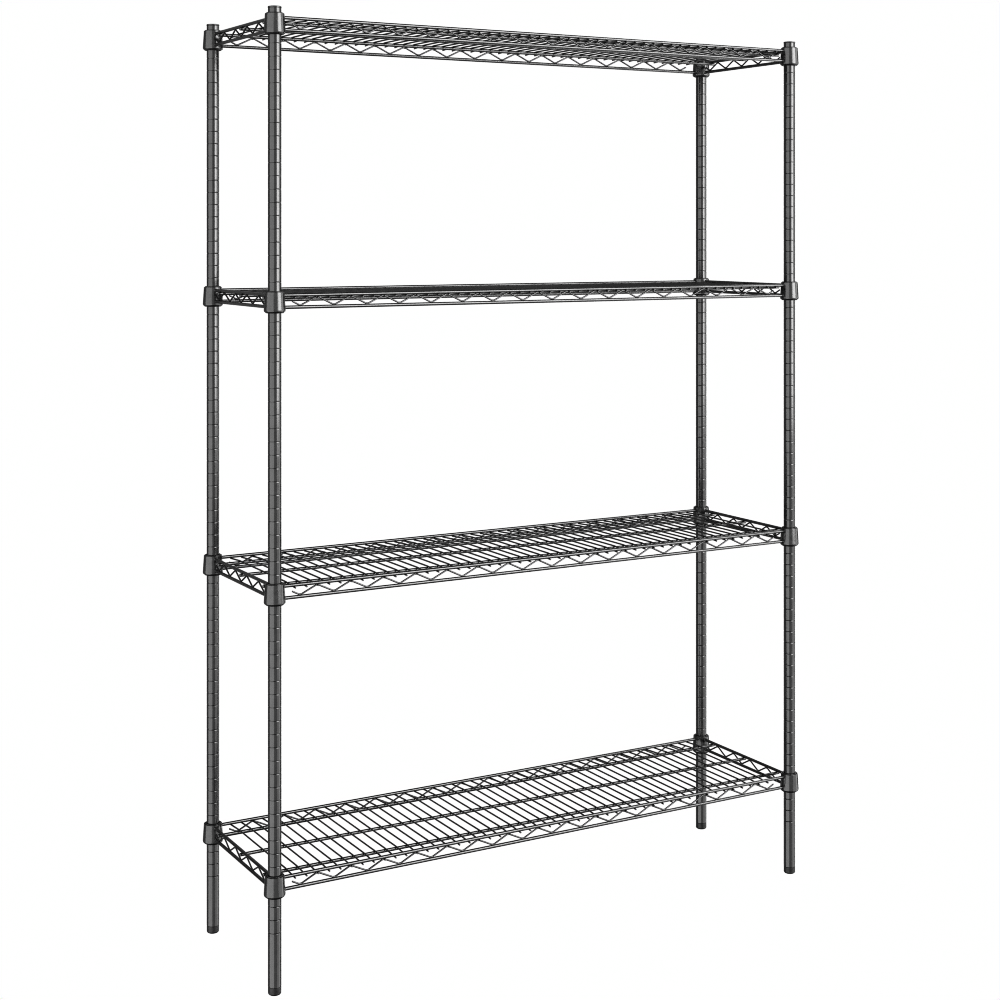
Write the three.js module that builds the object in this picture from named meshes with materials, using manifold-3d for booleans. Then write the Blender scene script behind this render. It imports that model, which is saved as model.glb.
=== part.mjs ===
// Free-standing wire shelving rack: four grooved tubular posts and four welded wire shelves.
// Every shelf has a tapered collar at each corner. The collar wedges onto a two-part split
// sleeve, and the sleeve is clipped into a groove of the post. A threaded insert in the foot of
// each post holds a levelling foot, and a cap closes its top.
//
// Millimetres. +X runs along the long side, +Y to the rear and +Z up. The origin is on the
// floor, in the middle of the four posts.

import * as THREE from 'three';
import { mergeVertices } from 'three/addons/utils/BufferGeometryUtils.js';
import Module from 'manifold-3d';

const wasm = await Module();
wasm.setup();

// ---------------------------------------------------------------- driving dimensions
const RACK_HEIGHT = 1892; // floor to the top of the post caps
const POST_SPAN_X = 1257; // between post centres, long side
const POST_SPAN_Y = 336; // between post centres, short side

const POST_RADIUS = 12.7;
const POST_WALL = 1.5;
const GROOVE_PITCH = 25.4; // shelf heights step by whole grooves
const GROOVE_DEPTH = 0.9;
const GROOVE_HALF_WIDTH = 1.5;

const LOWEST_SHELF = 196.9; // centre of its bottom rod above the floor
const SHELF_STEPS = [0, 22, 44, 65]; // grooves above the lowest shelf

const TRUSS_DEPTH = 23.2; // between the centres of a shelf's top and bottom rods
const ROD_RADIUS = 3.2;
const INNER_ROD_DROP = 5.6; // long inner rods hang this far below the top rods
const INNER_ROD_INSET = 45; // front and rear inner rods, in from the post centres

const WIRE_SIZE = 3; // deck and lacing wires, square here
const DECK_WIRE_COUNT = 50;
const DECK_WIRE_INSET = 41; // first deck wire, in from the post centres
const DECK_WIRE_SHORT = 2; // deck wires end this far inside the lacing's plane

const LONG_LACING = { firstBend: 53, lastBend: 63, bends: 17 }; // insets of the end bends
const SHORT_LACING = { firstBend: 51, lastBend: 36, bends: 5 };
const WELD_EVERY = 8; // one in so many bends of a lacing wire is welded to its rod
const WELD_DEPTH = 0.6;

const COLLAR_BELOW = 8.5; // collar's lower edge under the bottom rod's centre
const COLLAR_ABOVE = 30; // collar's upper edge over the bottom rod's centre
const COLLAR_BOTTOM_RADIUS = 21;
const COLLAR_TOP_RADIUS = 18.5;
const COLLAR_WALL = 2;

const SLEEVE_BELOW = 10.5; // sleeve's lower and upper edges from the bottom rod's centre
const SLEEVE_ABOVE = 31.5;
const SLEEVE_CHAMFER = 2; // on its lower edge, which shows under the collar
const SLEEVE_RIB = 23.5; // rib, and the groove it sits in, over the bottom rod's centre
const SLEEVE_RIB_DEPTH = 0.7;
const SLEEVE_RIB_HALF_WIDTH = 1;
const SLEEVE_SPLIT = 0.6; // gap between the two halves

const FOOT_HEIGHT = 15; // visible base of a levelling foot
const FOOT_RADIUS = 12.5;
const FOOT_CHAMFER = 2.5;
const STUD_RADIUS = 4.75;
const STUD_LENGTH = 45;
const INSERT_HEIGHT = 28;

const CAP_HEIGHT = 3; // visible head of a post cap
const CAP_STEM = 12;
const CAP_CROWN = 1;

const GAP = 0.3; // clearance between touching pieces
const ROUND_SIDES = 12; // posts, sleeves, collars and feet
const ROD_SIDES = 6;

// ---------------------------------------------------------------- materials
const epoxySteel = new THREE.MeshStandardMaterial({ color: 0x17181a, roughness: 0.38, metalness: 0.1 });
const sleevePlastic = new THREE.MeshStandardMaterial({ color: 0x0d0d0e, roughness: 0.6, metalness: 0 });
const capPlastic = new THREE.MeshStandardMaterial({ color: 0x101011, roughness: 0.5, metalness: 0 });
const footSteel = new THREE.MeshStandardMaterial({ color: 0x1c1d1f, roughness: 0.5, metalness: 0.1 });

// ---------------------------------------------------------------- solids
function toSolid(geometry) {
  geometry.deleteAttribute('normal');
  geometry.deleteAttribute('uv');
  const merged = mergeVertices(geometry, 1e-4);
  return new wasm.Manifold(new wasm.Mesh({
    numProp: 3,
    vertProperties: new Float32Array(merged.attributes.position.array),
    triVerts: new Uint32Array(merged.index.array),
  }));
}

function toGeometry(solid) {
  const { vertProperties, triVerts } = solid.getMesh();
  const geometry = new THREE.BufferGeometry();
  geometry.setAttribute('position', new THREE.BufferAttribute(vertProperties, 3));
  geometry.setIndex(new THREE.BufferAttribute(triVerts, 1));
  geometry.computeVertexNormals();
  return geometry;
}

function join(solids) {
  return solids.reduce((whole, piece) => whole.add(piece));
}

// A body turned about a vertical axis from a list of [radius, height] points.
function turned(points) {
  const profile = points.map(([radius, height]) => new THREE.Vector2(radius, height));
  return new THREE.LatheGeometry(profile, ROUND_SIDES).rotateX(Math.PI / 2);
}

// A straight rod between two points, with a ridge of its section facing up.
function rod(from, to) {
  const run = new THREE.Vector3().subVectors(to, from);
  const geometry = new THREE.CylinderGeometry(ROD_RADIUS, ROD_RADIUS, run.length(), ROD_SIDES);
  const turn = new THREE.Quaternion().setFromUnitVectors(
    new THREE.Vector3(0, 1, 0), run.clone().normalize());
  geometry.applyQuaternion(turn);
  geometry.translate(...new THREE.Vector3().addVectors(from, to).multiplyScalar(0.5).toArray());
  return toSolid(geometry);
}

function box(sizeX, sizeY, sizeZ, x, y, z) {
  return toSolid(new THREE.BoxGeometry(sizeX, sizeY, sizeZ).translate(x, y, z));
}

// ---------------------------------------------------------------- posts and their fittings
const halfX = POST_SPAN_X / 2;
const halfY = POST_SPAN_Y / 2;
const corners = [
  { name: 'front_left', x: -halfX, y: -halfY },
  { name: 'front_right', x: halfX, y: -halfY },
  { name: 'rear_left', x: -halfX, y: halfY },
  { name: 'rear_right', x: halfX, y: halfY },
];
const shelfHeights = SHELF_STEPS.map((step) => LOWEST_SHELF + step * GROOVE_PITCH);
const postInnerRadius = POST_RADIUS - POST_WALL;
const postBottom = FOOT_HEIGHT + GAP;
const postTop = RACK_HEIGHT - CAP_HEIGHT - GAP;

// The tube carries one groove here for each sleeve that is clipped on.
function postGeometry() {
  const outside = shelfHeights.flatMap((height) => {
    const groove = height + SLEEVE_RIB;
    return [
      [POST_RADIUS, groove - GROOVE_HALF_WIDTH],
      [POST_RADIUS - GROOVE_DEPTH, groove],
      [POST_RADIUS, groove + GROOVE_HALF_WIDTH],
    ];
  });
  return turned([
    [postInnerRadius, postBottom],
    [POST_RADIUS, postBottom],
    ...outside,
    [POST_RADIUS, postTop],
    [postInnerRadius, postTop],
    [postInnerRadius, postBottom],
  ]);
}

function capGeometry() {
  const stemRadius = postInnerRadius - GAP;
  const head = RACK_HEIGHT - CAP_HEIGHT;
  return turned([
    [0, head - CAP_STEM],
    [stemRadius, head - CAP_STEM],
    [stemRadius, head],
    [POST_RADIUS, head],
    [POST_RADIUS, RACK_HEIGHT - CAP_CROWN],
    [POST_RADIUS - CAP_CROWN, RACK_HEIGHT],
    [0, RACK_HEIGHT],
  ]);
}

// A nylon plug pressed into the tube, with the hole that the levelling stud screws into.
function insertGeometry() {
  const hole = STUD_RADIUS + GAP;
  const top = postBottom + INSERT_HEIGHT;
  return turned([
    [hole, postBottom],
    [postInnerRadius - GAP, postBottom],
    [postInnerRadius - GAP, top],
    [hole, top],
    [hole, postBottom],
  ]);
}

function footGeometry() {
  return turned([
    [0, 0],
    [FOOT_RADIUS - FOOT_CHAMFER, 0],
    [FOOT_RADIUS, FOOT_CHAMFER],
    [FOOT_RADIUS, FOOT_HEIGHT],
    [STUD_RADIUS, FOOT_HEIGHT],
    [STUD_RADIUS, FOOT_HEIGHT + STUD_LENGTH],
    [0, FOOT_HEIGHT + STUD_LENGTH],
  ]);
}

// ---------------------------------------------------------------- collars and split sleeves
// Heights of a shelf's own parts are counted from the centre of its bottom rods.
function collarRadius(height) {
  const share = (height + COLLAR_BELOW) / (COLLAR_BELOW + COLLAR_ABOVE);
  return COLLAR_BOTTOM_RADIUS + share * (COLLAR_TOP_RADIUS - COLLAR_BOTTOM_RADIUS);
}

function collar(x, y) {
  return toSolid(turned([
    [COLLAR_BOTTOM_RADIUS - COLLAR_WALL, -COLLAR_BELOW],
    [COLLAR_BOTTOM_RADIUS, -COLLAR_BELOW],
    [COLLAR_TOP_RADIUS, COLLAR_ABOVE],
    [COLLAR_TOP_RADIUS - COLLAR_WALL, COLLAR_ABOVE],
    [COLLAR_BOTTOM_RADIUS - COLLAR_WALL, -COLLAR_BELOW],
  ]).translate(x, y, 0));
}

// One half of a split sleeve, on the +X or -X side, with the rib that sits in the groove.
function sleeveHalf(side) {
  const bore = POST_RADIUS + GAP;
  const wedge = (height) => collarRadius(height) - COLLAR_WALL - GAP;
  const ring = toSolid(turned([
    [bore, -SLEEVE_BELOW],
    [wedge(-SLEEVE_BELOW) - SLEEVE_CHAMFER, -SLEEVE_BELOW],
    [wedge(SLEEVE_CHAMFER - SLEEVE_BELOW), SLEEVE_CHAMFER - SLEEVE_BELOW],
    [wedge(SLEEVE_ABOVE), SLEEVE_ABOVE],
    [bore, SLEEVE_ABOVE],
    [bore, SLEEVE_RIB + SLEEVE_RIB_HALF_WIDTH],
    [bore - SLEEVE_RIB_DEPTH, SLEEVE_RIB],
    [bore, SLEEVE_RIB - SLEEVE_RIB_HALF_WIDTH],
    [bore, -SLEEVE_BELOW],
  ]));
  const block = 2 * COLLAR_BOTTOM_RADIUS;
  const offset = side * (block / 2 + SLEEVE_SPLIT / 2);
  return toGeometry(ring.intersect(box(block, block, 4 * block, offset, 0, 0)));
}

// ---------------------------------------------------------------- shelves
// A bent wire that stays in one upright plane, along +X. line lists the [x, z] corners of its
// middle line, and halfHeight is half its height as cut by a vertical.
function bentWire(line, halfHeight) {
  const upper = line.map(([x, z]) => new THREE.Vector2(x, z + halfHeight));
  const lower = line.map(([x, z]) => new THREE.Vector2(x, z - halfHeight)).reverse();
  const strip = new THREE.ExtrudeGeometry(new THREE.Shape([...upper, ...lower]), {
    depth: WIRE_SIZE,
    bevelEnabled: false,
  });
  return strip.translate(0, 0, -WIRE_SIZE / 2).rotateX(Math.PI / 2);
}

// A lacing wire between a truss's bottom and top rods, from 0 along +X. Its ends are free,
// half-way up the truss.
function lacing(span, { firstBend, lastBend, bends }) {
  const halfPitch = (span - firstBend - lastBend) / (bends - 1) / 2;
  const slope = (TRUSS_DEPTH - 2 * ROD_RADIUS) / halfPitch;
  const tip = (WIRE_SIZE / 2) * Math.hypot(1, slope); // from a bend's centre to its outer point
  const corner = (index) => {
    const reach = index % WELD_EVERY === 0 ? -WELD_DEPTH : GAP;
    const low = ROD_RADIUS + tip + reach;
    const height = index % 2 === 0 ? low : TRUSS_DEPTH - low;
    return [firstBend + index * halfPitch, height];
  };
  const count = 2 * bends - 1;
  const line = [
    [firstBend - halfPitch / 2, TRUSS_DEPTH / 2],
    ...Array.from({ length: count }, (_, index) => corner(index)),
    [span - lastBend + halfPitch / 2, TRUSS_DEPTH / 2],
  ];
  return bentWire(line, tip);
}

// Top rod, bottom rod and lacing of one side, between two collars.
function truss(from, to, lacingPlan) {
  const run = new THREE.Vector3().subVectors(to, from);
  const along = run.clone().normalize();
  const rods = [0, TRUSS_DEPTH].map((height) => {
    const inset = collarRadius(height) - 0.6 * COLLAR_WALL; // ends inside the collar's wall
    const start = from.clone().addScaledVector(along, inset).setZ(height);
    const end = to.clone().addScaledVector(along, -inset).setZ(height);
    return rod(start, end);
  });
  const lace = lacing(run.length(), lacingPlan);
  lace.rotateZ(Math.atan2(run.y, run.x)).translate(from.x, from.y, 0);
  return [...rods, toSolid(lace)];
}

// Four collars, four trusses and the two outer long rods that carry the deck.
function shelfFrame() {
  const [frontLeft, frontRight, rearLeft, rearRight] = corners.map(
    ({ x, y }) => new THREE.Vector3(x, y, 0));
  const innerHeight = TRUSS_DEPTH - INNER_ROD_DROP;
  const reach = halfX + 2 * ROD_RADIUS; // the ends show just outside the short trusses
  const innerRods = [-1, 1].map((side) => {
    const y = side * (halfY - INNER_ROD_INSET);
    return rod(new THREE.Vector3(-reach, y, innerHeight), new THREE.Vector3(reach, y, innerHeight));
  });
  return toGeometry(join([
    ...corners.map(({ x, y }) => collar(x, y)),
    ...truss(frontLeft, frontRight, LONG_LACING),
    ...truss(rearLeft, rearRight, LONG_LACING),
    ...truss(frontLeft, rearLeft, SHORT_LACING),
    ...truss(frontRight, rearRight, SHORT_LACING),
    ...innerRods,
  ]));
}

// One deck wire, front to rear. It is level over the inner rods and dips under the top rods.
function deckWire(wireBottom, x) {
  const half = WIRE_SIZE / 2;
  const level = wireBottom + half;
  const underRod = TRUSS_DEPTH - ROD_RADIUS - GAP - half;
  const bend = halfY - INNER_ROD_INSET;
  const end = halfY - DECK_WIRE_SHORT;
  const fall = (level - underRod) / (halfY - bend);
  const tipHeight = level - fall * (end - bend);
  const line = [[-end, tipHeight], [-bend, level], [bend, level], [end, tipHeight]];
  return toSolid(bentWire(line, half).rotateZ(Math.PI / 2).translate(x, 0, 0));
}

// The mat of deck wires, welded to the middle long rod.
function shelfDeck() {
  const wireBottom = TRUSS_DEPTH - INNER_ROD_DROP + ROD_RADIUS + GAP;
  const pitch = (POST_SPAN_X - 2 * DECK_WIRE_INSET) / (DECK_WIRE_COUNT - 1);
  const wires = Array.from({ length: DECK_WIRE_COUNT }, (_, index) => deckWire(
    wireBottom, -halfX + DECK_WIRE_INSET + index * pitch));
  const rodHeight = wireBottom + WELD_DEPTH - ROD_RADIUS;
  const reach = halfX - ROD_RADIUS - GAP;
  const middleRod = rod(
    new THREE.Vector3(-reach, 0, rodHeight), new THREE.Vector3(reach, 0, rodHeight));
  return toGeometry(join([middleRod, ...wires]));
}

// ---------------------------------------------------------------- the rack
const rack = new THREE.Group();

function add(name, geometry, material, x = 0, y = 0, z = 0) {
  const mesh = new THREE.Mesh(geometry, material);
  mesh.name = name;
  mesh.position.set(x, y, z);
  rack.add(mesh);
}

const post = postGeometry();
const cap = capGeometry();
const insert = insertGeometry();
const foot = footGeometry();
for (const { name, x, y } of corners) {
  add(`post_${name}`, post, epoxySteel, x, y);
  add(`post_cap_${name}`, cap, capPlastic, x, y);
  add(`post_insert_${name}`, insert, sleevePlastic, x, y);
  add(`levelling_foot_${name}`, foot, footSteel, x, y);
}

const frame = shelfFrame();
const deck = shelfDeck();
const leftHalf = sleeveHalf(-1);
const rightHalf = sleeveHalf(1);
shelfHeights.forEach((height, index) => {
  const number = index + 1; // shelf 1 is the lowest
  add(`shelf_${number}_frame`, frame, epoxySteel, 0, 0, height);
  add(`shelf_${number}_deck`, deck, epoxySteel, 0, 0, height);
  for (const { name, x, y } of corners) {
    add(`sleeve_${number}_${name}_left_half`, leftHalf, sleevePlastic, x, y, height);
    add(`sleeve_${number}_${name}_right_half`, rightHalf, sleevePlastic, x, y, height);
  }
});

export default rack;
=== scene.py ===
"""Looks of the wire shelving rack: fine meshes, materials, camera and light around the CAD frame.

Metres, in the part's own frame: +X along the long side, +Y to the rear, +Z up, floor at zero.
"""
import math

import bpy
from mathutils import Matrix, Vector


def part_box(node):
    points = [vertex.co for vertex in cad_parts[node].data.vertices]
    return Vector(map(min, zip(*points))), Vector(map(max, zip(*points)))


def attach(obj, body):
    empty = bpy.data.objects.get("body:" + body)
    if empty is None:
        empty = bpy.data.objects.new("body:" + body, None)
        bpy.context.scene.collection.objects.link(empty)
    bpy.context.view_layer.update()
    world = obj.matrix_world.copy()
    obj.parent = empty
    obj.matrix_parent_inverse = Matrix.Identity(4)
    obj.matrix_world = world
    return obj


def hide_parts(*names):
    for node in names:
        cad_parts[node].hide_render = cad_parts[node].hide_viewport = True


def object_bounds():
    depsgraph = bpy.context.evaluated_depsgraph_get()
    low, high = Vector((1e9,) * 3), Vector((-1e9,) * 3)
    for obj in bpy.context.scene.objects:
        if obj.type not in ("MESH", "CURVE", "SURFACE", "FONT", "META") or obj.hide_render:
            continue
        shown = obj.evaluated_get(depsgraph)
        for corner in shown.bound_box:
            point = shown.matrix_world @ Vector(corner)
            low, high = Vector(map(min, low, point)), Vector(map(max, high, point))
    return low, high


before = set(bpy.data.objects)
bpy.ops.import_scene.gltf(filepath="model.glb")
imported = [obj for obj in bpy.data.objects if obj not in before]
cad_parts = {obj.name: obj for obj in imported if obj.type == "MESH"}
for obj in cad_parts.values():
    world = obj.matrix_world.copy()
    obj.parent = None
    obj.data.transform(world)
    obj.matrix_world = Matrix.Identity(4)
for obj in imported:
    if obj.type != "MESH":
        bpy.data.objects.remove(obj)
cad_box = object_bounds()

# ---------------------------------------------------------------- sizes
# A bend, edge, round or lip is the radius that a corner of a profile is rounded to. Heights of a
# shelf's parts, and of its sleeves, are counted from the centre of its bottom rods.
GAP = 0.0003  # clearance between touching pieces

POST_RADIUS = 0.0127
POST_WALL = 0.0015
POST_EDGE = 0.0004
GROOVE_PITCH = 0.0254
GROOVE_DIPS = ((0.00022, 0.0004), (0.0003, 0.0019))  # depth and half width, one inside the other
GROOVES_BELOW = 4  # grooves under the one that the lowest sleeve sits in
TOP_MARGIN = 0.012  # no groove this close to the tube's top

ROD_RADIUS = 0.0032
TRUSS_DEPTH = 0.0232  # between the centres of the top and bottom rods
INNER_ROD_HEIGHT = 0.0174
INNER_ROD_INSETS = (0.045, 0.168, 0.291)  # from the front post centres
INNER_ROD_STUB = 0.0062  # past the post centres

WIRE_RADIUS = 0.0015
WIRE_SINK = 0.0003  # a welded wire sinks this far into its rod
DECK_WIRE_COUNT = 50
DECK_WIRE_INSET = 0.041  # from the post centres to the first and last wires
DECK_WIRE_STUB = 0.0052  # past the centre of the front and rear rods
DECK_BEND = 0.02
# From a side's post centres to the first and last bends on its bottom rod, and how many are there.
LONG_LACING = {"first": 0.053, "last": 0.063, "bends": 17}
SHORT_LACING = {"first": 0.051, "last": 0.036, "bends": 5}
LACING_FLAT = 0.0026  # half the length that lies along a rod at a bend
LACING_BEND = 0.0028
LACING_HOOK = 0.017  # the free ends reach this far past the end bends

COLLAR_BELOW = 0.0085  # lower edge under the bottom rods' centres, as in the CAD frame
COLLAR_ABOVE = 0.030
COLLAR_BOTTOM_RADIUS = 0.021
COLLAR_TOP_RADIUS = 0.0185
COLLAR_WALL = 0.002
COLLAR_ROLL = 0.0018  # how far the lower edge is drawn in, and over what height
COLLAR_ROLL_HEIGHT = 0.004
COLLAR_ROLL_STEPS = 6
COLLAR_LIP = 0.0007  # on both edges of its upper rim

SLEEVE_BELOW = 0.0105
SLEEVE_ABOVE = 0.0315
SLEEVE_CHAMFER = 0.002
SLEEVE_EDGE = 0.0008
SLEEVE_RIB = 0.0235  # the rib's height, which is also a groove's
SLEEVE_RIB_DEPTH = 0.0006
SLEEVE_RIB_HALF_WIDTH = 0.0007
SLEEVE_RIB_BEND = 0.0005
SLEEVE_SPLIT = math.radians(1.2)  # half the gap between two halves, round the post

FOOT_ROUND = 0.0034  # its lower edge
FOOT_EDGE = 0.0006  # its upper edge
FOOT_HEIGHT = 0.015
FOOT_RADIUS = 0.0125
STUD_RADIUS = 0.00475
STUD_EDGE = 0.0008
THREAD_PITCH = 0.0015
THREAD_DEPTH = 0.0008
INSERT_EDGE = 0.0005
INSERT_MOUTH = 0.0003  # the edge of its hole

CAP_OVERHANG = 0.0004  # past the tube
CAP_HEAD = 0.003
CAP_ROUND = 0.0011
CAP_STEM = 0.012
CAP_RIBS = (0.6, 0.3)  # down from the head, as shares of the stem
CAP_RIB_DEPTH = 0.0004
CAP_RIB_HALF_WIDTH = 0.001

WELD_REACH = 0.0028  # along the rod, to each side of the collar's face
WELD_RADIUS = 0.0049
WELD_CORE = 0.8  # of the rod's radius: the bead's inner side, hidden in the rod
WELD_HOLLOW = 1.15  # of the rod's radius, where the fillet curves in
WELD_BEND = 0.002

# ---------------------------------------------------------------- mesh making
FULL_TURN = 2 * math.pi
ROUND_SIDES = 64  # of posts, collars and other turned pieces
ROD_SIDES = 20
WIRE_SIDES = 12
ARC_STEP = math.radians(18)
SHARP_ANGLE = math.radians(40)
TIP_CHAMFER = 0.35  # of the radius, at the cut ends of rods and wires
HOLD = 0.08  # of a bend's radius, from an arc to the point that keeps the straight beside it flat
UP = Vector((0, 0, 1))
# Where a groove's profile has its points, as shares of the broad and of the narrow half width.
BROAD_STATIONS = (1 + HOLD, 1, 0.8, 0.6)
NARROW_STATIONS = (1, 0.67, 0.33)


def outline(corners, held=False):
    """2-D points along (x, y, bend radius) corners. Each bend is an arc.

    held adds a point just before and after each arc, which keeps the straights flat in shading.
    """
    points = []
    for index, (x, y, bend) in enumerate(corners):
        corner = Vector((x, y))
        if not bend:
            points.append(corner)
            continue
        before = Vector(corners[index - 1][:2])
        after = Vector(corners[(index + 1) % len(corners)][:2])
        into = (corner - before).normalized()
        out = (after - corner).normalized()
        turn = math.atan2(into.x * out.y - into.y * out.x, into.dot(out))
        start = corner - into * bend * math.tan(abs(turn) / 2)
        centre = start + math.copysign(bend, turn) * Vector((-into.y, into.x))
        steps = max(2, math.ceil(abs(turn) / ARC_STEP))
        arc = [
            centre + Matrix.Rotation(turn * step / steps, 2) @ (start - centre)
            for step in range(steps + 1)]
        if held:
            arc = [arc[0] - HOLD * bend * into, *arc, arc[-1] + HOLD * bend * out]
        points.extend(arc)
    return points


def turned(profile, start=0.0, sweep=FULL_TURN, sides=ROUND_SIDES):
    """A closed profile of (radius, height) points, anticlockwise, turned about +Z."""
    whole = sweep == FULL_TURN
    columns = sides if whole else sides + 1
    angles = [start + sweep * column / sides for column in range(columns)]
    vertices = []
    rings = []
    for radius, height in profile:
        first = len(vertices)
        if radius == 0:
            rings.append([first] * columns)
            vertices.append(Vector((0, 0, height)))
        else:
            rings.append(list(range(first, first + columns)))
            vertices.extend(
                Vector((radius * math.cos(a), radius * math.sin(a), height)) for a in angles)
    faces = []
    for lower, upper in zip(rings, rings[1:] + rings[:1]):
        for column in range(sides):
            ahead = (column + 1) % columns
            quad = [lower[column], lower[ahead], upper[ahead], upper[column]]
            distinct = list(dict.fromkeys(quad))
            if len(distinct) > 2:
                faces.append(distinct)
    if not whole:
        faces.append([ring[0] for ring in rings])
        faces.append([ring[-1] for ring in reversed(rings)])
    return vertices, faces


def bar(points, across, radius, sides):
    """A round bar along 3-D points that lie in one plane, with across as its normal."""
    last = len(points) - 1
    tangents = [
        (points[min(i + 1, last)] - points[max(i - 1, 0)]).normalized() for i in range(last + 1)]
    tip = TIP_CHAMFER * radius
    stations = [(points[0], tangents[0], radius - tip)]
    stations.append((points[0] + tip * tangents[0], tangents[0], radius))
    stations.extend((points[i], tangents[i], radius) for i in range(1, last))
    stations.append((points[-1] - tip * tangents[-1], tangents[-1], radius))
    stations.append((points[-1], tangents[-1], radius - tip))
    vertices = []
    for point, tangent, size in stations:
        rise = tangent.cross(across)
        for side in range(sides):
            angle = FULL_TURN * side / sides
            vertices.append(point + size * (math.cos(angle) * across + math.sin(angle) * rise))
    faces = [list(reversed(range(sides)))]
    for ring in range(len(stations) - 1):
        for side in range(sides):
            ahead = (side + 1) % sides
            low = ring * sides
            high = low + sides
            faces.append([low + side, low + ahead, high + ahead, high + side])
    faces.append([(len(stations) - 1) * sides + side for side in range(sides)])
    return vertices, faces


def moved(body, matrix):
    vertices, faces = body
    return [matrix @ vertex for vertex in vertices], faces


def mesh_of(name, bodies, material):
    vertices = []
    faces = []
    for more_vertices, more_faces in bodies:
        first = len(vertices)
        vertices.extend(more_vertices)
        faces.extend([first + index for index in face] for face in more_faces)
    mesh = bpy.data.meshes.new(name)
    mesh.from_pydata(vertices, [], faces)
    mesh.materials.append(material)
    mesh.shade_smooth()
    mesh.set_sharp_from_angle(angle=SHARP_ANGLE)
    return mesh


def place(name, mesh, location, body, slot, *nodes):
    """A piece of the rack that rides on a CAD body and stands for CAD nodes."""
    piece = bpy.data.objects.new(name, mesh)
    piece.location = location
    bpy.context.scene.collection.objects.link(piece)
    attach(piece, body)
    if nodes:
        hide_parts(*nodes)


# ---------------------------------------------------------------- materials
NOISE_RANGE = (0.3, 0.7)  # most of what a noise texture gives
EDGE_POINTINESS = (0.53, 0.62)  # from not rubbed to fully rubbed
RUB_NOISE = (0.35, 0.65)  # the part of a noise that makes the rubbing uneven
RUB_LEAST = 0.2  # the rubbing that is left where that noise is low
MIX_FIRST = 6  # the Mix node's colour sockets
MIX_SECOND = 7
MIX_RESULT = 2


def add_node(tree, kind, **values):
    """A shader node with values for its sockets, underscores standing for blanks."""
    node = tree.nodes.new(kind)
    for socket, value in values.items():
        node.inputs[socket.replace("_", " ")].default_value = value
    return node


def noise(tree, vector, size, detail):
    """Noise whose features are about size across."""
    node = add_node(tree, "ShaderNodeTexNoise", Scale=1 / size, Detail=detail)
    tree.links.new(vector, node.inputs["Vector"])
    return node.outputs["Fac"]


def spread(tree, value, low, high, to_low, to_high):
    """Maps value from low..high to to_low..to_high, and clamps it."""
    node = add_node(
        tree, "ShaderNodeMapRange", From_Min=low, From_Max=high, To_Min=to_low, To_Max=to_high)
    tree.links.new(value, node.inputs["Value"])
    return node.outputs["Result"]


def mix(tree, factor, first, second):
    """Mixes two colours, given as grey levels or as sockets."""
    node = tree.nodes.new("ShaderNodeMix")
    node.data_type = "RGBA"
    tree.links.new(factor, node.inputs["Factor"])
    for index, value in ((MIX_FIRST, first), (MIX_SECOND, second)):
        socket = node.inputs[index]
        if isinstance(value, float):
            socket.default_value = (value, value, value, 1)
        else:
            tree.links.new(value, socket)
    return node.outputs[MIX_RESULT]


def coating(name, tone, gloss, peel_size, peel_height, worn_tone, mottle=0.02, ior=2.4):
    """A dark painted or moulded surface. tone and gloss are (low, high) grey and roughness.

    It has soft patches of shade about mottle across, finer patches of gloss, a fine orange peel,
    and edges rubbed lighter, to worn_tone.
    """
    made = bpy.data.materials.new(name)
    made.use_nodes = True
    tree = made.node_tree
    shader = tree.nodes["Principled BSDF"]
    shader.inputs["IOR"].default_value = ior

    place_in_mesh = tree.nodes.new("ShaderNodeTexCoord").outputs["Object"]
    own = tree.nodes.new("ShaderNodeObjectInfo").outputs["Random"]
    shift = tree.nodes.new("ShaderNodeVectorMath")
    tree.links.new(place_in_mesh, shift.inputs[0])
    tree.links.new(own, shift.inputs[1])
    vector = shift.outputs["Vector"]

    patches = noise(tree, vector, mottle, detail=3)
    shade = mix(tree, spread(tree, patches, *NOISE_RANGE, 0, 1), tone[0], tone[1])
    convex = tree.nodes.new("ShaderNodeNewGeometry").outputs["Pointiness"]
    edge = spread(tree, convex, *EDGE_POINTINESS, 0, 1)
    breaks = noise(tree, vector, mottle / 4, detail=2)
    rub = tree.nodes.new("ShaderNodeMath")
    rub.operation = "MULTIPLY"
    tree.links.new(edge, rub.inputs[0])
    tree.links.new(spread(tree, breaks, *RUB_NOISE, RUB_LEAST, 1), rub.inputs[1])
    colour = mix(tree, rub.outputs["Value"], shade, worn_tone)
    tree.links.new(colour, shader.inputs["Base Color"])
    sheen = noise(tree, vector, mottle / 2, detail=2)
    tree.links.new(spread(tree, sheen, *NOISE_RANGE, *gloss), shader.inputs["Roughness"])

    peel = add_node(tree, "ShaderNodeBump", Strength=1.0, Distance=peel_height)
    tree.links.new(noise(tree, vector, peel_size, detail=2), peel.inputs["Height"])
    tree.links.new(peel.outputs["Normal"], shader.inputs["Normal"])
    return made


EPOXY = coating(
    "black_epoxy", tone=(0.022, 0.04), gloss=(0.14, 0.18),
    peel_size=0.0022, peel_height=0.000012, worn_tone=0.08)
EPOXY_CAST = coating(
    "black_epoxy_collar", tone=(0.026, 0.05), gloss=(0.16, 0.22),
    peel_size=0.0018, peel_height=0.00005, worn_tone=0.1, mottle=0.008)
SLEEVE = coating(
    "sleeve_plastic", tone=(0.013, 0.026), gloss=(0.4, 0.5),
    peel_size=0.0008, peel_height=0.00002, worn_tone=0.05)
PLASTIC = coating(
    "black_plastic", tone=(0.018, 0.035), gloss=(0.32, 0.42),
    peel_size=0.0008, peel_height=0.00002, worn_tone=0.06)
FOOT = coating(
    "foot_coating", tone=(0.026, 0.048), gloss=(0.3, 0.42),
    peel_size=0.0012, peel_height=0.00004, worn_tone=0.08, mottle=0.006, ior=1.92)

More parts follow.
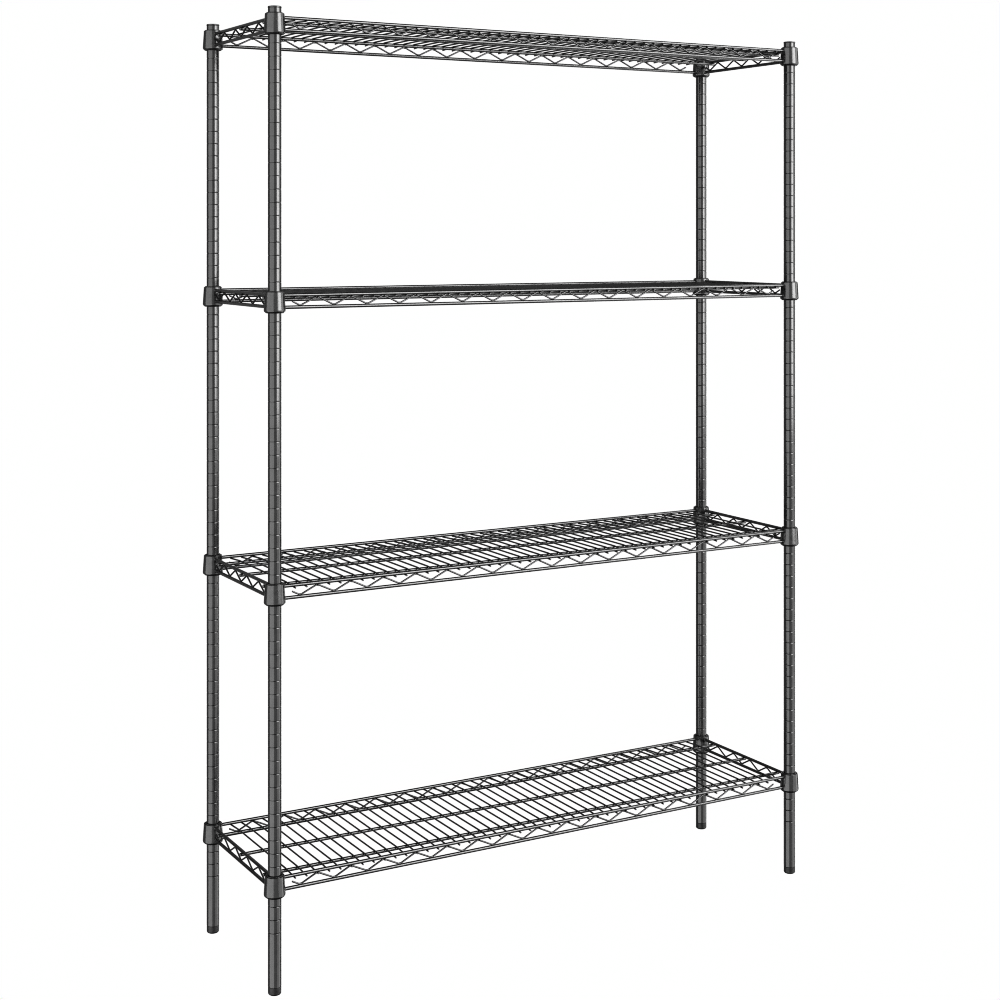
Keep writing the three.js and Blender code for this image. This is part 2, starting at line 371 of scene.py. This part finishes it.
# ---------------------------------------------------------------- places, from the CAD frame
CORNERS = ("front_left", "front_right", "rear_left", "rear_right")
SHELVES = (1, 2, 3, 4)


def centre_line(node):
    """The (x, y) of an upright round node's axis."""
    low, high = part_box(node)
    return (low.x + high.x) / 2, (low.y + high.y) / 2


posts = {corner: Vector((*centre_line(f"post_{corner}"), 0)) for corner in CORNERS}
half_x = posts["front_right"].x
half_y = posts["rear_right"].y
shelf_heights = {n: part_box(f"shelf_{n}_frame")[0].z + COLLAR_BELOW for n in SHELVES}
post_bottom, post_top = (corner.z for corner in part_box("post_front_left"))
rack_top = cad_box[1].z
bore = POST_RADIUS - POST_WALL


# ---------------------------------------------------------------- posts and their fittings
def groove(height):
    """Profile points of one rolled groove: a narrow dip in the middle of a broad shallow one."""
    narrow = GROOVE_DIPS[0][1]
    broad = GROOVE_DIPS[1][1]
    edge = [broad * share for share in BROAD_STATIONS]
    middle = [narrow * share for share in NARROW_STATIONS]
    above = edge + middle
    points = []
    for across in [-value for value in above] + [0] + above[::-1]:
        depth = sum(
            deep * (1 + math.cos(math.pi * across / wide)) / 2
            for deep, wide in GROOVE_DIPS if abs(across) < wide)
        points.append((POST_RADIUS - depth, height + across, 0))
    return points


def post_tube():
    lowest = shelf_heights[1] + SLEEVE_RIB - GROOVES_BELOW * GROOVE_PITCH
    count = int((post_top - TOP_MARGIN - lowest) / GROOVE_PITCH) + 1
    grooves = []
    for index in range(count):
        grooves.extend(groove(lowest + index * GROOVE_PITCH))
    return turned(outline([
        (bore, post_bottom, 0),
        (POST_RADIUS, post_bottom, POST_EDGE),
        *grooves,
        (POST_RADIUS, post_top, POST_EDGE),
        (bore, post_top, 0),
    ], held=True))


def post_cap():
    head = rack_top - CAP_HEAD
    rim = POST_RADIUS + CAP_OVERHANG
    stem = bore - GAP - CAP_RIB_DEPTH
    ribs = []
    for share in CAP_RIBS:
        rib = head - CAP_STEM * share
        ribs.append((stem, rib - CAP_RIB_HALF_WIDTH, 0))
        ribs.append((stem + CAP_RIB_DEPTH, rib, 0))
        ribs.append((stem, rib + CAP_RIB_HALF_WIDTH, 0))
    return turned(outline([
        (0, head - CAP_STEM, 0),
        (stem, head - CAP_STEM, CAP_ROUND / 2),
        *ribs,
        (stem, head, 0),
        (rim, head, CAP_ROUND / 4),
        (rim, rack_top - CAP_ROUND / 3, CAP_ROUND),
        (0, rack_top, 0),
    ], held=True))


def threaded_insert():
    low, high = (corner.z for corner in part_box("post_insert_front_left"))
    hole = STUD_RADIUS + GAP
    side = bore - GAP
    return turned(outline([
        (hole, low, INSERT_MOUTH),
        (side, low, INSERT_EDGE),
        (side, high, INSERT_EDGE),
        (hole, high, INSERT_MOUTH),
    ]))


def levelling_foot():
    """A round base on a threaded stud."""
    stud_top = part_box("levelling_foot_front_left")[1].z
    root = STUD_RADIUS - THREAD_DEPTH
    thread = []
    height = FOOT_HEIGHT + THREAD_PITCH
    while height + THREAD_PITCH < stud_top:
        thread.extend([(root, height, 0), (STUD_RADIUS, height + THREAD_PITCH / 2, 0)])
        height += THREAD_PITCH
    return turned(outline([
        (0, 0, 0),
        (FOOT_RADIUS, 0, FOOT_ROUND),
        (FOOT_RADIUS, FOOT_HEIGHT, FOOT_EDGE),
        (root, FOOT_HEIGHT, 0),
        *thread,
        (root, height, 0),
        (root, stud_top, STUD_EDGE),
        (0, stud_top, 0),
    ], held=True))


# ---------------------------------------------------------------- collars and split sleeves
def collar_radius(height):
    share = (height + COLLAR_BELOW) / (COLLAR_BELOW + COLLAR_ABOVE)
    return COLLAR_BOTTOM_RADIUS + share * (COLLAR_TOP_RADIUS - COLLAR_BOTTOM_RADIUS)


def collar():
    """A cone whose lower edge is drawn in along a quarter of an ellipse."""
    start = COLLAR_ROLL_HEIGHT - COLLAR_BELOW
    widest = collar_radius(start)
    roll = []
    for step in range(COLLAR_ROLL_STEPS + 1):
        angle = math.pi / 2 * (1 - step / COLLAR_ROLL_STEPS)
        radius = widest - COLLAR_ROLL * (1 - math.cos(angle))
        roll.append((radius, start - COLLAR_ROLL_HEIGHT * math.sin(angle), 0))
    above = start + HOLD * COLLAR_ROLL_HEIGHT
    return turned(outline([
        (COLLAR_BOTTOM_RADIUS - COLLAR_WALL, -COLLAR_BELOW, 0),
        *roll,
        (collar_radius(above), above, 0),
        (COLLAR_TOP_RADIUS, COLLAR_ABOVE, COLLAR_LIP),
        (COLLAR_TOP_RADIUS - COLLAR_WALL, COLLAR_ABOVE, COLLAR_LIP),
    ], held=True))


def sleeve_half(side):
    """The half of a sleeve on the +X or -X side, with the rib that sits in a groove."""
    inner = POST_RADIUS + GAP
    skirt = SLEEVE_CHAMFER - SLEEVE_BELOW
    widest = collar_radius(skirt) - COLLAR_WALL - GAP
    narrowest = collar_radius(SLEEVE_ABOVE) - COLLAR_WALL - GAP
    profile = outline([
        (inner, -SLEEVE_BELOW, SLEEVE_EDGE / 2),
        (widest - SLEEVE_CHAMFER, -SLEEVE_BELOW, SLEEVE_EDGE),
        (widest, skirt, SLEEVE_EDGE),
        (narrowest, SLEEVE_ABOVE, SLEEVE_EDGE),
        (inner, SLEEVE_ABOVE, SLEEVE_EDGE / 2),
        (inner, SLEEVE_RIB + SLEEVE_RIB_HALF_WIDTH, 0),
        (inner - SLEEVE_RIB_DEPTH, SLEEVE_RIB, SLEEVE_RIB_BEND),
        (inner, SLEEVE_RIB - SLEEVE_RIB_HALF_WIDTH, 0),
    ], held=True)
    start = -side * math.pi / 2 + SLEEVE_SPLIT
    return turned(profile, start, math.pi - 2 * SLEEVE_SPLIT, ROUND_SIDES // 2)


# ---------------------------------------------------------------- shelves
def side_pairs():
    """The two posts and the lacing plan of each side."""
    return (
        (posts["front_left"], posts["front_right"], LONG_LACING),
        (posts["rear_left"], posts["rear_right"], LONG_LACING),
        (posts["front_left"], posts["rear_left"], SHORT_LACING),
        (posts["front_right"], posts["rear_right"], SHORT_LACING),
    )


def perimeter_rods():
    bodies = []
    for start, end, _plan in side_pairs():
        along = (end - start).normalized()
        across = along.cross(UP)
        for height in (0, TRUSS_DEPTH):
            inset = (collar_radius(height) - COLLAR_WALL / 2) * along
            points = [start + inset + height * UP, end - inset + height * UP]
            bodies.append(bar(points, across, ROD_RADIUS, ROD_SIDES))
    return bodies


def inner_rods():
    reach = half_x + INNER_ROD_STUB
    bodies = []
    for inset in INNER_ROD_INSETS:
        ends = [Vector((side * reach, inset - half_y, INNER_ROD_HEIGHT)) for side in (-1, 1)]
        bodies.append(bar(ends, Vector((0, -1, 0)), ROD_RADIUS, ROD_SIDES))
    return bodies


def lacing_line(span, plan):
    """(distance, height) points of a lacing wire between a bottom and a top rod."""
    half_pitch = (span - plan["first"] - plan["last"]) / (plan["bends"] - 1) / 2
    low = ROD_RADIUS + WIRE_RADIUS - WIRE_SINK
    corners = [(plan["first"] - LACING_HOOK, TRUSS_DEPTH / 2, 0)]
    for index in range(2 * plan["bends"] - 1):
        height = low if index % 2 == 0 else TRUSS_DEPTH - low
        middle = plan["first"] + index * half_pitch
        corners.append((middle - LACING_FLAT, height, LACING_BEND))
        corners.append((middle + LACING_FLAT, height, LACING_BEND))
    corners.append((span - plan["last"] + LACING_HOOK, TRUSS_DEPTH / 2, 0))
    return outline(corners)


def lacing_wires():
    bodies = []
    for start, end, plan in side_pairs():
        along = (end - start).normalized()
        line = lacing_line((end - start).length, plan)
        points = [start + distance * along + height * UP for distance, height in line]
        bodies.append(bar(points, along.cross(UP), WIRE_RADIUS, WIRE_SIDES))
    return bodies


def deck_wires():
    """Wires from front to rear, level over the inner rods and dipping under the outer ones."""
    level = INNER_ROD_HEIGHT + ROD_RADIUS + WIRE_RADIUS - WIRE_SINK
    under = TRUSS_DEPTH - ROD_RADIUS - WIRE_RADIUS + WIRE_SINK
    bend = half_y - INNER_ROD_INSETS[0]
    tip = half_y + DECK_WIRE_STUB
    tip_height = level - (level - under) * (tip - bend) / (half_y - bend)
    line = outline([
        (-tip, tip_height, 0),
        (-bend, level, DECK_BEND),
        (bend, level, DECK_BEND),
        (tip, tip_height, 0),
    ])
    pitch = 2 * (half_x - DECK_WIRE_INSET) / (DECK_WIRE_COUNT - 1)
    bodies = []
    for index in range(DECK_WIRE_COUNT):
        x = DECK_WIRE_INSET - half_x + index * pitch
        points = [Vector((x, y, height)) for y, height in line]
        bodies.append(bar(points, Vector((1, 0, 0)), WIRE_RADIUS, WIRE_SIDES))
    return bodies


def weld_beads():
    """A small fillet round each perimeter rod where it meets its collar."""
    fillet = turned(outline([
        (ROD_RADIUS * WELD_CORE, -WELD_REACH, 0),
        (WELD_RADIUS, -WELD_REACH, 0),
        (ROD_RADIUS * WELD_HOLLOW, 0, WELD_BEND),
        (ROD_RADIUS * WELD_CORE, WELD_REACH, 0),
    ]), sides=ROD_SIDES)
    bodies = []
    for start, end, _plan in side_pairs():
        for post, along in ((start, end - start), (end, start - end)):
            direction = along.normalized()
            turn = UP.rotation_difference(direction).to_matrix().to_4x4()
            for height in (0, TRUSS_DEPTH):
                spot = post + collar_radius(height) * direction + height * UP
                bodies.append(moved(fillet, Matrix.Translation(spot) @ turn))
    return bodies


# ---------------------------------------------------------------- the rack
def build_posts():
    tube = mesh_of("post_tube", [post_tube()], EPOXY)
    cap = mesh_of("post_lid", [post_cap()], PLASTIC)
    insert = mesh_of("threaded_insert", [threaded_insert()], SLEEVE)
    foot = mesh_of("foot", [levelling_foot()], FOOT)
    for corner, spot in posts.items():
        place(f"post_tube_{corner}", tube, spot, "root", "epoxy_steel", f"post_{corner}")
        place(f"post_lid_{corner}", cap, spot, "root", "black_plastic", f"post_cap_{corner}")
        place(f"threaded_insert_{corner}", insert, spot, "root", "sleeve_plastic",
              f"post_insert_{corner}")
        place(f"foot_{corner}", foot, spot, f"foot_{corner}", "foot_steel",
              f"levelling_foot_{corner}")


def build_shelves():
    cone = mesh_of("collar", [collar()], EPOXY_CAST)
    rods = mesh_of("shelf_rods", perimeter_rods() + inner_rods(), EPOXY)
    lacing = mesh_of("lacing_wires", lacing_wires(), EPOXY)
    deck = mesh_of("deck_wires", deck_wires(), EPOXY)
    welds = mesh_of("weld_beads", weld_beads(), EPOXY_CAST)
    halves = {
        "left_half": mesh_of("sleeve_left_half", [sleeve_half(-1)], SLEEVE),
        "right_half": mesh_of("sleeve_right_half", [sleeve_half(1)], SLEEVE),
    }
    for number, height in shelf_heights.items():
        body = f"shelf_{number}"
        level = height * UP
        place(f"{body}_rods", rods, level, body, "epoxy_steel", f"{body}_frame")
        place(f"{body}_lacing", lacing, level, body, "epoxy_steel")
        place(f"{body}_deck_wires", deck, level, body, "epoxy_steel", f"{body}_deck")
        place(f"{body}_welds", welds, level, body, "epoxy_steel")
        for corner, spot in posts.items():
            place(f"{body}_collar_{corner}", cone, spot + level, body, "epoxy_steel")
            for half, mesh in halves.items():
                name = f"sleeve_{number}_{corner}_{half}"
                place(f"split_{name}", mesh, spot + level, "root", "sleeve_plastic", name)


build_posts()
build_shelves()

# ---------------------------------------------------------------- studio
FLOOR_SIZE = 40.0
FLOOR_DROP = 0.026  # the floor lies just under the lowest reach of the levelling feet
WORLD_LIGHT = 0.08  # what the rack sees round it where no softbox stands
VIEW_GAMMA = 0.45  # shows light nearly in proportion, which keeps thin wires dark against white
PIXEL_FILTER = 1.1  # in pixels, a little crisper than usual
RADIANCE_TO_POWER = math.pi

LENS = 62.0  # mm, on a film 36 mm wide
FILM_WIDTH = 36
LENS_SHIFT = -0.2694  # of the frame
CAMERA_SPOT = (-1.8925, -3.246, 1.462)
CAMERA_YAW = math.radians(-29.78)

SOFTBOXES = {  # azimuth, distance, width, bottom, top, radiance
    "key": (27, 4.5, 3.8, 0.56, 8.0, 2.8),
    "right_wall": (49, 4.6, 6.9, -4.0, 6.0, 1.72),
    "right_side": (77, 4.5, 2.2, -4.0, 6.0, 0.7),
    "front_fill": (-14, 5.0, 4.4, -4.0, 6.0, 1.02),
    "left_wall": (-75, 4.5, 6.9, -4.0, 6.0, 2.08),
    "left_low": (-73, 4.4, 7.0, -4.0, 0.8, 0.17),
    "left_rear": (-125, 4.5, 2.4, -4.0, 6.0, 0.65),
    "right_rear": (124, 4.5, 2.2, -4.0, 6.0, 2.0),
    "back_wall": (180, 4.5, 5.5, -4.0, 6.0, 0.6),
}


def white_floor():
    """A pale floor that reads as white paper and is not mirrored in the gloss of the steel."""
    made = bpy.data.materials.new("pale_floor")
    made.use_nodes = True
    tree = made.node_tree
    glow = add_node(tree, "ShaderNodeEmission", Color=(1, 1, 1, 1), Strength=1.0)
    tree.links.new(glow.outputs["Emission"], tree.nodes["Material Output"].inputs["Surface"])
    half = FLOOR_SIZE / 2
    corners = [(-half, -half, 0), (half, -half, 0), (half, half, 0), (-half, half, 0)]
    mesh = bpy.data.meshes.new("floor")
    mesh.from_pydata(corners, [], [(0, 1, 2, 3)])
    mesh.materials.append(made)
    floor = bpy.data.objects.new("floor", mesh)
    floor.location.z = -FLOOR_DROP
    floor.visible_glossy = False
    floor.visible_diffuse = False
    floor.visible_shadow = False
    bpy.context.scene.collection.objects.link(floor)


def softbox(name, azimuth, distance, width, bottom, top, radiance):
    """A soft upright light. Azimuth 0 is in front, at -Y, and 90 is at +X."""
    tall = top - bottom
    light = bpy.data.lights.new(name, "AREA")
    light.shape = "RECTANGLE"
    light.size = width
    light.size_y = tall
    light.energy = radiance * width * tall * RADIANCE_TO_POWER
    lamp = bpy.data.objects.new(name, light)
    angle = math.radians(azimuth)
    height = (bottom + top) / 2
    lamp.location = (distance * math.sin(angle), -distance * math.cos(angle), height)
    facing = Vector((-lamp.location.x, -lamp.location.y, 0))
    lamp.rotation_euler = facing.to_track_quat("-Z", "Y").to_euler()
    lamp.visible_camera = False
    bpy.context.scene.collection.objects.link(lamp)


def white_world():
    """White for the camera, and a dim even light for everything else."""
    world = bpy.data.worlds.new("studio")
    world.use_nodes = True
    tree = world.node_tree
    dim = tree.nodes["Background"]
    dim.inputs["Color"].default_value = (WORLD_LIGHT, WORLD_LIGHT, WORLD_LIGHT, 1)
    white = add_node(tree, "ShaderNodeBackground", Color=(1, 1, 1, 1), Strength=1.0)
    choice = tree.nodes.new("ShaderNodeMixShader")
    ray = tree.nodes.new("ShaderNodeLightPath")
    tree.links.new(ray.outputs["Is Camera Ray"], choice.inputs["Fac"])
    tree.links.new(dim.outputs["Background"], choice.inputs[1])
    tree.links.new(white.outputs["Background"], choice.inputs[2])
    tree.links.new(choice.outputs["Shader"], tree.nodes["World Output"].inputs["Surface"])
    bpy.context.scene.world = world


def camera():
    """A level camera with a lens shift, so that the posts stay upright in the picture."""
    lens = bpy.data.cameras.new("camera")
    lens.lens = LENS
    lens.sensor_width = FILM_WIDTH
    lens.shift_y = LENS_SHIFT
    seen_from = bpy.data.objects.new("camera", lens)
    seen_from.location = CAMERA_SPOT
    seen_from.rotation_euler = (math.radians(90), 0, CAMERA_YAW)
    bpy.context.scene.collection.objects.link(seen_from)
    bpy.context.scene.camera = seen_from


white_floor()
white_world()
for light_name, terms in SOFTBOXES.items():
    softbox(light_name, *terms)
camera()
view = bpy.context.scene.view_settings
view.view_transform = "Standard"
view.gamma = VIEW_GAMMA
bpy.context.scene.cycles.filter_width = PIXEL_FILTER
